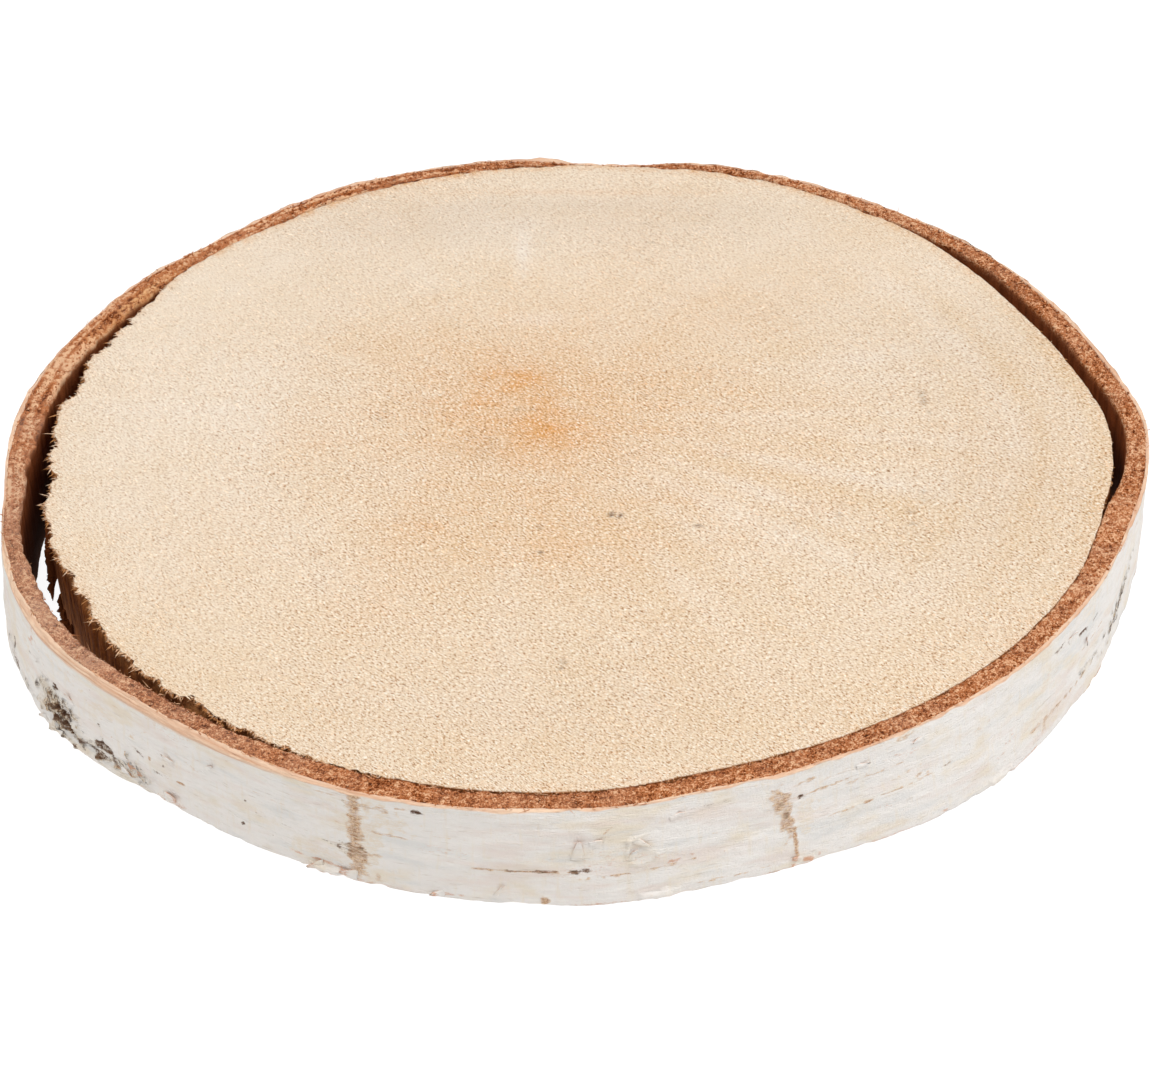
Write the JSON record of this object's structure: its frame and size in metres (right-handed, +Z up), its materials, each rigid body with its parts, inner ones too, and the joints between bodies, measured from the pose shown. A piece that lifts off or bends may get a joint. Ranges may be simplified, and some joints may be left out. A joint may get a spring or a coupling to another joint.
{
  "type": "birch wood slice",
  "caption": "Flat cross-cut slice of a birch trunk, pale sawn wood inside a ring of bark with a white papery skin, bark sprung away from the wood at the sides.",
  "frame": {"origin": "centre of the slice's outline on the surface that it lies on", "axes": "+Z up through the thickness, out of the upper cut; -Y towards the side where the bark is tight and thick"},
  "size_m": [0.2114, 0.2138, 0.02],
  "materials": {
    "sawn_wood": "rough sawn end grain, dry and unfinished",
    "inner_bark": "granular corky bark, matt",
    "outer_bark": "papery white birch skin, matt with a faint sheen"
  },
  "bodies": {
    "root": {"wood_disc": "sawn_wood", "inner_bark": "inner_bark", "outer_bark": "outer_bark"}
  },
  "joints": []
}
